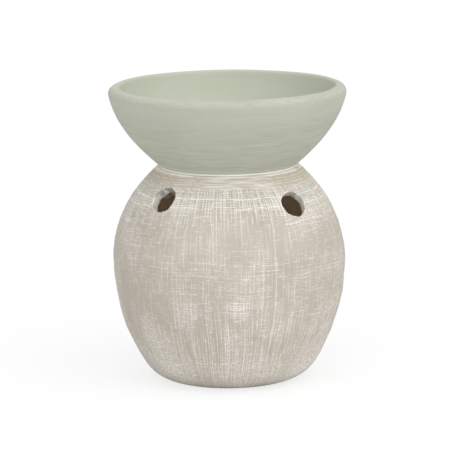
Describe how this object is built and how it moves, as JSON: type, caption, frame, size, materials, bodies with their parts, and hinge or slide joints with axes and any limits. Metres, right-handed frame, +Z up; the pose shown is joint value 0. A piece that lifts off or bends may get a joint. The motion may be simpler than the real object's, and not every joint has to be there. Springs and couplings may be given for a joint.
{
  "type": "essential oil burner",
  "caption": "Round-bellied ceramic oil burner with an arched tealight door, round vents and a lift-off dish for scented oil.",
  "frame": {"origin": "centre of the base, on the surface that the burner stands on", "axes": "+Z up the burner's middle, -Y towards the front with two of the vents, +Y towards the tealight door"},
  "size_m": [0.102, 0.102, 0.1272],
  "materials": {
    "body_clay": "matt greige clay dry-brushed with off-white cross-hatching",
    "bowl_glaze": "matt sage green with faint turning streaks",
    "cup_foil": "bright pressed foil",
    "wax": "waxy, slightly translucent",
    "wick_cotton": "waxed braid",
    "sustainer_tin": "tinned"
  },
  "bodies": {
    "body": {"burner_body": "body_clay"},
    "bowl": {"oil_bowl": "bowl_glaze"},
    "tealight": {"tealight_cup": "cup_foil", "tealight_wax": "wax", "tealight_wick": "wick_cotton", "wick_sustainer": "sustainer_tin"}
  },
  "joints": [
    {"name": "bowl_lift", "type": "slide", "parent": "body", "child": "bowl", "axis": [0, 0, 1], "range_m": [0, 0.08]},
    {"name": "tealight_slide", "type": "slide", "parent": "body", "child": "tealight", "axis": [0, 1, 0], "range_m": [0, 0.08]}
  ]
}
